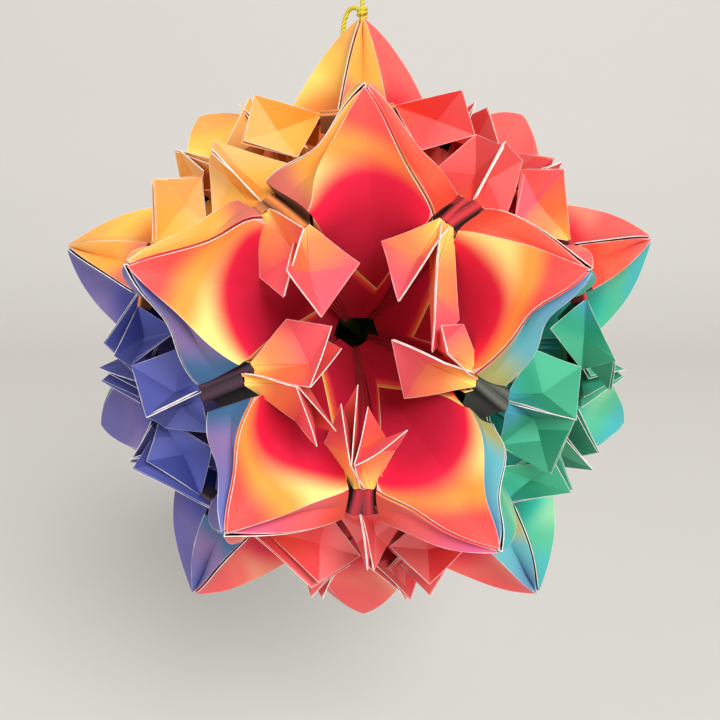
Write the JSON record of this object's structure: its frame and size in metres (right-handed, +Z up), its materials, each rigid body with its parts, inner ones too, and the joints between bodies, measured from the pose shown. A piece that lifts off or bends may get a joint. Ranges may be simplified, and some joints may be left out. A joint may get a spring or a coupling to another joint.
{
  "type": "kusudama paper ball",
  "caption": "Hanging decorative ball of folded paper units that form cupped flowers and pointed spikes, with a short cord and eye at the top.",
  "frame": {"origin": "centre of the ball, where the axes of all flowers and spikes cross", "axes": "+Z up through the spike that the cord hangs from, -Y towards the front flower, +X to the right"},
  "size_m": [0.1196, 0.112, 0.1494],
  "materials": {
    "paper": "matte printed paper with rainbow gradients",
    "cord": "matte yellow twisted thread"
  },
  "bodies": {
    "root": {"unit_01": "paper", "unit_02": "paper", "unit_03": "paper", "unit_04": "paper", "unit_05": "paper", "unit_06": "paper", "unit_07": "paper", "unit_08": "paper", "unit_09": "paper", "unit_10": "paper", "unit_11": "paper", "unit_12": "paper", "unit_13": "paper", "unit_14": "paper", "unit_15": "paper", "unit_16": "paper", "unit_17": "paper", "unit_18": "paper", "unit_19": "paper", "unit_20": "paper", "unit_21": "paper", "unit_22": "paper", "unit_23": "paper", "unit_24": "paper", "unit_25": "paper", "unit_26": "paper", "unit_27": "paper", "unit_28": "paper", "unit_29": "paper", "unit_30": "paper", "cord_stem": "cord", "cord_line": "cord", "cord_tail": "cord", "cord_eye": "cord", "stop_knot": "cord", "tip_knot": "cord", "eye_knot": "cord"}
  },
  "joints": []
}
